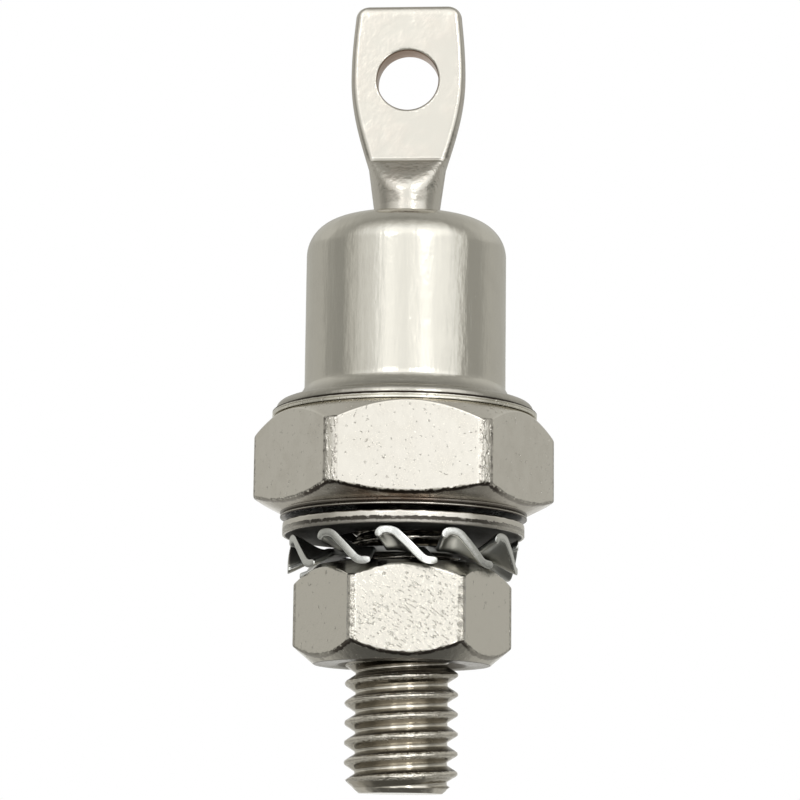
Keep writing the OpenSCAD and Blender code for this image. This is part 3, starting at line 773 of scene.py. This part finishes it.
def add_sheet(work, rows, open_sides):
    """Adds a curved sheet to a mesh. rows: for each radius, the line along the ring at that radius and the
    thickness along the line. The sides of a sheet that meets its neighbours are left open."""
    upper, lower = [], []
    for radius, line, thick in rows:
        run = np.gradient(line, axis=0)
        run = run / np.linalg.norm(run, axis=1, keepdims=True)
        off = np.stack([-run[:, 1], run[:, 0]], axis=-1) * thick[:, None] / 2
        for verts, at in ((upper, line + off), (lower, line - off)):
            angle = LOCK_TURN - math.pi / 2 + at[:, 0] / radius
            spots = np.stack([radius * np.cos(angle), radius * np.sin(angle), lock_mid + at[:, 1]], axis=-1)
            verts.append([work.verts.new(spot) for spot in spots * MM])
    last, across = len(rows) - 1, len(rows[0][1]) - 1
    for i in range(across):
        for j in range(last):
            work.faces.new((upper[j][i], upper[j + 1][i], upper[j + 1][i + 1], upper[j][i + 1]))
            work.faces.new((lower[j][i], lower[j][i + 1], lower[j + 1][i + 1], lower[j + 1][i]))
        work.faces.new((upper[0][i], upper[0][i + 1], lower[0][i + 1], lower[0][i]))
        work.faces.new((lower[last][i], lower[last][i + 1], upper[last][i + 1], upper[last][i]))
    if not open_sides:
        for j in range(last):
            work.faces.new((lower[j][0], lower[j + 1][0], upper[j + 1][0], upper[j][0]))
            work.faces.new((upper[j][-1], upper[j + 1][-1], lower[j + 1][-1], lower[j][-1]))


def tooth_mesh():
    """One tooth and its share of the ring, as closed sheets with square cut edges."""
    tip_line = soft_curve(TOOTH_END, 4)
    half_tooth = math.pi / LOCK_TEETH * LOCK_TOOTH_SHARE * LOCK_D / 2
    flat_line = np.stack([np.linspace(-half_tooth, half_tooth, len(tip_line)), 0 * tip_line[:, 0]], axis=-1)
    ring_line = np.stack([np.linspace(-1, 1, 7) * math.pi / LOCK_TEETH, np.zeros(7)], axis=-1)
    ring_rows = [(r, ring_line * (r, 1), np.full(7, LOCK_T)) for r in (LOCK_BORE / 2, LOCK_ROOT_D / 2)]
    # The cut ends of a tooth are rounded off, and its outer end is upset by the press
    from_end = 1 - np.abs(np.linspace(-1, 1, len(tip_line)))
    tooth_t = LOCK_T * (0.45 + 0.55 * np.minimum(from_end / 0.14, 1) ** 0.5)
    tooth_rows = []
    for r in np.linspace(LOCK_RING_D / 2 - 0.12, LOCK_D / 2, 12):
        reach = max(0.0, (2 * r - LOCK_RING_D) / (LOCK_D - LOCK_RING_D))
        line = flat_line + (tip_line - flat_line) * (0.65 * reach + 0.35 * reach**2 * (3 - 2 * reach))
        tooth_rows.append((r, line * (2 * r / LOCK_D, 1), tooth_t * (1 + LOCK_UPSET * reach**6)))
    work = bmesh.new()
    add_sheet(work, ring_rows, open_sides=True)
    add_sheet(work, tooth_rows, open_sides=False)
    mesh = bpy.data.meshes.new("lock_tooth")
    work.to_mesh(mesh)
    work.free()
    return mesh


def crown_tree():
    """Sets a tooth out evenly round the axis, and joins the copies into one ring."""
    tree, size, result = new_tree("tooth_crown", [
        ("Teeth", "NodeSocketInt"), ("Finish", "NodeSocketMaterial")])
    count, tooth = size["Teeth"], size["Geometry"]
    spots = count.node("GeometryNodePoints", None, {"Count": count})
    number = count.node("GeometryNodeInputIndex")
    turn = count.node("ShaderNodeCombineXYZ", None, {2: number * (2 * math.pi) / count})
    copies = count.node("GeometryNodeInstanceOnPoints", None, {
        "Points": spots, "Instance": tooth, "Rotation": turn})
    plain = count.node("GeometryNodeRealizeInstances", None, {"Geometry": copies})
    joined = count.node("GeometryNodeMergeByDistance", None, {"Geometry": plain, "Distance": LOCK_MERGE_M})
    done = count.node("GeometryNodeSetMaterial", None, {"Geometry": joined, "Material": size["Finish"]})
    tree.links.new(done.socket, result.inputs[0])
    return tree


lock_finish, lock_shader, lock_spot = start_finish("blackened_spring_steel", metal=1.0)
lock_r = axes(lock_spot)[3]
scuff = grain(lock_spot, 2.2, 71.0)
rubbed = (lock_r + 0.10 * scuff).between(LOCK_D / 2 - 0.08, LOCK_D / 2) * scuff.between(0.25, 0.5)
# Painted shade on the ring, between the nut and the flat washer
lock_ring_shade = lock_r.below(LOCK_ROOT_D / 2 + 0.05, LOCK_ROOT_D / 2 + 0.35)
lock_shade = tint(lock_ring_shade * 0.8, (0.52, 0.53, 0.52), (0.07, 0.07, 0.068))
feed(lock_shader, "Base Color", tint(rubbed, lock_shade, (0.67, 0.68, 0.66)))
feed(lock_shader, "Roughness", 0.26 - 0.07 * rubbed + 0.12 * scuff)
feed_relief(lock_shader, grain(lock_spot, 6.0, 73.0, detail=3.0) * 0.5, 0.02 * MM)
lock_washer = grown_piece(
    "toothed_washer", crown_tree(), {"Teeth": LOCK_TEETH, "Finish": lock_finish}, tooth_mesh())
edge_softening = lock_washer.modifiers.new("edge_softening", "BEVEL")
edge_softening.width, edge_softening.segments = LOCK_SOFT_EDGE * MM, 2
edge_softening.limit_method, edge_softening.angle_limit = "ANGLE", math.radians(50)
edge_softening.harden_normals = False
lock_washer.data.polygons.foreach_set("use_smooth", [True] * len(lock_washer.data.polygons))
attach(lock_washer, "washers")
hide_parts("lock_washer")

# Nut
# A hexagon nut, cold formed, tapped and nickel plated. Forming and tumbling leave its flats pitted and all
# its edges nicked, both faces are chamfered, and its thread meshes with the stud's.
NUT_TURN = math.radians(6.3)
NUT_AF, NUT_CORNER_D, NUT_FACE_D, NUT_SINK_R = 7.8, 9.0, 7.24, 2.67
NUT_SLOPE, NUT_PLAY = math.tan(math.radians(40)), 0.075
nut_low, nut_high = (corner.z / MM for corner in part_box("hex_nut"))
nut_angles = hexagon_angles(flat_steps=61, corner_from=27.0, corner_steps=26)
turned_nut_angles = nut_angles + NUT_TURN
nut_r = hexagon_radius(nut_angles, NUT_AF, NUT_CORNER_D, soft=0.05)
nut_fall = (nut_r - NUT_FACE_D / 2) * NUT_SLOPE


def bore_radius(height):
    """The nut's thread: the stud's own ridge, moved outwards by the play between them."""
    wound = height / STUD_PITCH - turned_nut_angles / (2 * math.pi) + THREAD_PHASE
    ridge = np.abs(wound % 1 - 0.5) * 2
    lift = np.clip(1 - (ridge - THREAD_CREST) / THREAD_FLANK, 0, 1)
    return STUD_ROOT_R + lift * (STUD_CREST_R - STUD_ROOT_R) + NUT_PLAY


nut_corners = [
    (NUT_SINK_R, nut_low), (NUT_FACE_D / 2, nut_low), (nut_r, nut_low + nut_fall),
    (nut_r, nut_high - nut_fall), (NUT_FACE_D / 2, nut_high), (NUT_SINK_R, nut_high)]
low_wear = wear_round(nut_angles, pitch=16, seed=25.0)
high_wear = wear_round(nut_angles, pitch=16, seed=5.0)
nut_cuts = [0.05 + 0.03 * low_wear, 0.085 + 0.05 * low_wear,
            0.085 + 0.05 * high_wear, 0.05 + 0.03 * high_wear]
outer_nut = round_corners(profiles_round(nut_corners, nut_angles), nut_cuts)
bore_corners = []
for z in np.linspace(nut_high - 0.02, nut_low + 0.02, 76):
    sink = max(NUT_SINK_R - min(z - nut_low, nut_high - z), 0)
    bore_corners.append((np.maximum(bore_radius(z), sink), z))
nut_profiles = np.concatenate([outer_nut, profiles_round(bore_corners, nut_angles)], axis=1)
plain_nut = skin_piece("plain_nut", turned(nut_profiles, turned_nut_angles), closed=True)
nut_finish, nut_shader, nut_spot = start_finish("nickel_on_nut", metal=1.0)
nut_x, nut_y, nut_z, nut_out = axes(nut_spot)
to_front = nut_x * math.sin(NUT_TURN) - nut_y * math.cos(NUT_TURN)
near_flat = to_front.between(NUT_AF / 2 - 0.2, NUT_AF / 2 - 0.03)
nut_edge = nut_out.between(NUT_CORNER_D / 2 - 0.12, NUT_CORNER_D / 2 - 0.05)
dimples = grain(nut_spot, 3.4, 81.0, detail=5.0, rough=0.66)
nicks = grain(nut_spot, 4.2, 83.0, detail=2.0, rough=0.5).between(0.67, 0.73)
fine_nut = grain(nut_spot, 9.0, 85.0, detail=3.0)
nut_uneven = grain(nut_spot, 4.6, 87.0, rough=0.65)
# Slanting ripples over most of the flat that was last under the tool
slanted = nut_spot.node("ShaderNodeMapping", {"vector_type": "TEXTURE"}, {
    "Vector": nut_spot, "Rotation": (0, math.radians(35), 0), "Scale": (1.0, 1.0, 0.42)})
rippled = 0.25 + 0.75 * (nut_x * 0.12 - nut_z * 0.3).between(0.55, 1.25)
ripples = grain(slanted, 4.6, 82.0, detail=3.0).between(0.54, 0.70) * rippled * near_flat
# Painted shade in ragged lines under the flats, strongest at the front, on the lower chamfer, under the nut
# and in its countersink, and ragged dark marks at the corners
nut_inset = hexagon_inset(nut_spot, NUT_AF, NUT_CORNER_D, NUT_TURN) - 0.22 * (nut_uneven - 0.5)
over_low = nut_z - nut_low - (nut_out - NUT_FACE_D / 2) * NUT_SLOPE
torn_low = over_low - 0.3 * (nut_uneven - 0.5)
low_line = nut_inset.below(0.09, 0.15) * torn_low.below(0.03, 0.06)
low_line = low_line * (0.4 + 0.55 * (-nut_y).between(2.8, 3.4))
on_low_chamfer = over_low.below(0.01, 0.03) * (0.04 + 0.14 * dimples)
under_face = nut_z.below(nut_low + 0.01, nut_low + 0.03) * 0.68
in_sink = nut_out.below(NUT_SINK_R + 0.05, NUT_SINK_R + 0.23) * 0.8
at_corners = nut_edge * nut_uneven.between(0.46, 0.64) * 0.45
nut_shade_and_marks = low_line + on_low_chamfer + nut_spot.math("MAXIMUM", under_face, in_sink) + at_corners
nut_shade_and_marks = nut_spot.math("MINIMUM", nut_shade_and_marks, 0.9)
nut_shade = tint(nicks * 0.5, (0.66, 0.636, 0.578), (0.44, 0.41, 0.35))
# Painted shade, and dark marks at the corners, mixed into the nut's colour
feed(nut_shader, "Base Color", tint(nut_shade_and_marks, nut_shade, SHADE_AND_DIRT_COLOUR))
feed(nut_shader, "Roughness", 0.11 + 0.06 * dimples + 0.10 * nicks + 0.2 * nut_shade_and_marks)
nut_relief = dimples * 0.6 + fine_nut * 0.05 - nicks * 0.6 + ripples * 0.65
feed_relief(nut_shader, nut_relief + nut_edge * dimples * nut_uneven * 5.0, 0.03 * MM)
plain_nut.data.materials.append(nut_finish)
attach(plain_nut, "nut")
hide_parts("hex_nut")

# Floor, light and camera
# A pale table below the stud's end, two soft lamps, and a white studio whose grey side walls and ceiling give
# the plating its bands. The camera looks up at the part from a little below, as the photograph does.
TABLE_R, TABLE_Z = 0.35, -0.022
CAMERA_TURN, LOOK_UP, ROLL = math.radians(4.0), math.radians(9.961), math.radians(-0.676)
CAMERA_REACH, CAMERA_HEIGHT = 107.25, -13.8
FOCAL_PX, IMAGE_PX, SIDE_PX, SENSOR_MM = 2613.0, 800.0, 4.9, 36.0
UP = Vector((0, 0, 1))
# The light of the studio's walls, by degrees from the camera
WALL_LIGHT = [
    (-180, 0.5), (-168, 0.5), (-154, 0.55), (-110, 0.59), (-101, 0.46), (-78, 0.38), (-64, 0.66), (-50, 0.90),
    (-38, 0.98), (-22, 1.46), (-12, 1.36), (0, 1.27), (12, 1.42), (24, 1.44), (48, 1.32), (61, 1.08),
    (75, 0.42), (94, 0.44), (108, 0.58), (154, 0.55), (168, 0.5), (180, 0.5)]
WALL_MOST = 1.6

scene = bpy.context.scene
table_mesh = bpy.data.meshes.new("table")
table_work = bmesh.new()
bmesh.ops.create_circle(table_work, cap_ends=True, segments=96, radius=TABLE_R)
bmesh.ops.translate(table_work, verts=table_work.verts, vec=(0, 0, TABLE_Z))
table_work.to_mesh(table_mesh)
table_work.free()
table = bpy.data.objects.new("table", table_mesh)
scene.collection.objects.link(table)
table_finish, table_shader, table_spot = start_finish("pale_table")
table_cloud = grain(table_spot, 0.05, 91.0, detail=3.0)
feed(table_shader, "Base Color", tint(table_cloud, (0.86, 0.86, 0.85), (0.83, 0.83, 0.82)))
table_shader.inputs["Roughness"].default_value = 0.6
table_mesh.materials.append(table_finish)
table.visible_glossy = False

to_camera = Vector((math.sin(CAMERA_TURN), -math.cos(CAMERA_TURN), 0))
across_view = Vector((math.cos(CAMERA_TURN), math.sin(CAMERA_TURN), 0))


def soft_lamp(name, place, size, watts):
    """A square soft lamp at a place in metres, turned to the part."""
    lamp_data = bpy.data.lights.new(name, "AREA")
    lamp_data.shape, lamp_data.size, lamp_data.energy = "SQUARE", size, watts
    lamp = bpy.data.objects.new(name, lamp_data)
    lamp.location = place
    lamp.rotation_euler = (-place).to_track_quat("-Z", "Y").to_euler()
    scene.collection.objects.link(lamp)
    lamp.visible_glossy = False


soft_lamp("front_lamp", to_camera * 0.5 + UP * 0.35, 0.3, 4.0)
soft_lamp("side_lamp", across_view * -0.45 + UP * 0.4, 0.3, 2.5)

studio = bpy.data.worlds.new("studio")
studio.use_nodes = True
scene.world = studio
sky = studio.node_tree
sky.nodes.clear()
looking = Wire(sky, sky.nodes.new("ShaderNodeTexCoord").outputs["Generated"])


def part_along(way):
    """How much of the direction that a ray looks in runs along a way."""
    inputs = {0: looking, 1: tuple(way)}
    return looking.node("ShaderNodeVectorMath", {"operation": "DOT_PRODUCT"}, inputs, output="Value")


upward, front, sideways = part_along(UP), part_along(to_camera), part_along(across_view)
downward, backward = -upward, -front
swing = looking.math("ARCTAN2", sideways, front) / (2 * math.pi) + 0.5


def lamp_beside(degrees, full, edge):
    """An upright lamp so many degrees from the camera, which fades out between two half widths in degrees."""
    return abs(swing - (degrees / 360 + 0.5)).below(full / 360, edge / 360)


wall_stops = [(degrees / 360 + 0.5, light / WALL_MOST) for degrees, light in WALL_LIGHT]
wall_ramp = looking.node("ShaderNodeValToRGB", {"stops": wall_stops}, {0: swing})
walls = looking.node("ShaderNodeSeparateColor", None, {0: wall_ramp}) * WALL_MOST
ceiling = upward.between(0.62, 0.98, soft=False)
ground, pit = downward.between(0.15, 0.45), downward.between(0.55, 0.9)
# The middle of the back wall is white, and the front and side walls are in shade near the table
white_back = backward.between(0.94, 0.99) * upward.between(-0.40, -0.25) * 0.42
low_shade = upward.below(-0.03, 0.02) * front.between(-1.0, -0.4) * front.below(0.92, 0.975)
high_walls = walls * (1 + 0.18 * upward.between(0.33, 0.42)) * (1 - low_shade * 0.55)
# Narrow lamps on both sides of the camera, each with a low and a high part and its glare on the table
right_lamp, left_lamp = lamp_beside(21.6, 3.6, 11.52), lamp_beside(-19.08, 2.88, 9.0)
streak = lamp_beside(21.6, 2.52, 8.64)
low_part = upward.between(0.0, 0.035) * upward.below(0.07, 0.095)
high_part = upward.between(0.30, 0.33) * upward.below(0.42, 0.48)
glare_part = downward.between(0.12, 0.18) * downward.below(0.30, 0.36)
lamps = (right_lamp * 3.0 + left_lamp * 1.5) * low_part + (streak * 9.0 + left_lamp * 2.2) * high_part
glare = (streak * 4.6 + left_lamp * 1.2) * glare_part
ceiling_light = 0.36 + 0.13 * backward.between(-0.16, 0.04)
ground_light = 0.56 - 0.43 * pit
grey = (high_walls + white_back + lamps) * (1 - ceiling) * (1 - ground)
grey = grey + ceiling_light * ceiling + ground_light * ground + glare
path = sky.nodes.new("ShaderNodeLightPath")
camera_ray, glossy_ray, clear_ray = (
    Wire(sky, path.outputs[ray]) for ray in ("Is Camera Ray", "Is Glossy Ray", "Is Transmission Ray"))
seen = looking.math("MINIMUM", camera_ray + clear_ray, 1.0)
wall_colour = tint(grey.between(0.5, 1.2), (0.985, 0.97, 0.90), (1.0, 0.998, 0.98))
studio_light = looking.node("ShaderNodeBackground", None, {
    "Color": wall_colour, "Strength": glossy_ray * grey + (1 - glossy_ray) * 0.55})
white = looking.node("ShaderNodeBackground", None, {"Color": (1, 1, 1, 1), "Strength": 1.0})
backing = looking.node("ShaderNodeMixShader", None, {0: seen, 1: studio_light, 2: white})
sky_out = sky.nodes.new("ShaderNodeOutputWorld")
sky.links.new(backing.socket, sky_out.inputs["Surface"])

camera_data = bpy.data.cameras.new("photo_camera")
camera_data.sensor_fit, camera_data.sensor_width = "HORIZONTAL", SENSOR_MM
camera_data.lens = FOCAL_PX / IMAGE_PX * SENSOR_MM
camera_data.clip_start, camera_data.clip_end = 0.005, 20.0
camera = bpy.data.objects.new("photo_camera", camera_data)
scene.collection.objects.link(camera)
forward = (-to_camera * math.cos(LOOK_UP) + UP * math.sin(LOOK_UP)).normalized()
forward = Matrix.Rotation(math.atan(SIDE_PX / FOCAL_PX), 3, UP) @ forward
right = forward.cross(UP).normalized()
roll = Matrix.Rotation(ROLL, 3, forward)
right, upright = roll @ right, roll @ right.cross(forward)
pose = Matrix((right, upright, -forward)).transposed().to_4x4()
pose.translation = (to_camera * CAMERA_REACH + UP * CAMERA_HEIGHT) * MM
camera.matrix_world = pose
scene.camera = camera
scene.view_settings.view_transform = "Standard"

bpy.context.view_layer.update()
